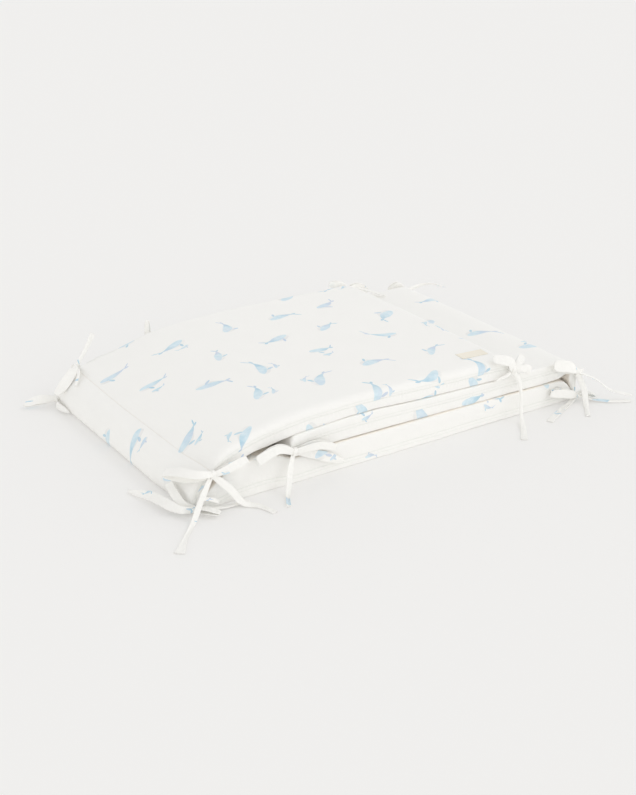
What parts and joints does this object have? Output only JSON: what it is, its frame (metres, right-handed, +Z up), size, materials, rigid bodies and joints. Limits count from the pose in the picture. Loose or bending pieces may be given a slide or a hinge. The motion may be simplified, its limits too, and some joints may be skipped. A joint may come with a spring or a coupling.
{
  "type": "folded crib bumper",
  "caption": "Padded cotton crib bumper folded in three, with sewn corner sections, edge seams and ties in bows along both long edges.",
  "frame": {"origin": "centre of the bumper's flat underside, where it rests", "axes": "+X along the folded length, from the fold that the top layer comes from to the fold at the other end; +Y across the bumper's height; +Z up, out of the surface it rests on"},
  "size_m": [0.7362, 0.501, 0.092],
  "materials": {
    "printed_cotton": "matt printed cotton",
    "tie_cotton": "matt cotton ribbon",
    "woven_label": "smooth woven ribbon"
  },
  "bodies": {
    "root": {"bumper": "printed_cotton", "label": "woven_label", "tie_a_front": "tie_cotton", "tie_a_back": "tie_cotton", "tie_b_front": "tie_cotton", "tie_b_back": "tie_cotton", "tie_c_front": "tie_cotton", "tie_c_back": "tie_cotton", "tie_d_front": "tie_cotton", "tie_d_back": "tie_cotton", "tie_e_front": "tie_cotton", "tie_e_back": "tie_cotton", "tie_f_front": "tie_cotton", "tie_f_back": "tie_cotton"}
  },
  "joints": []
}
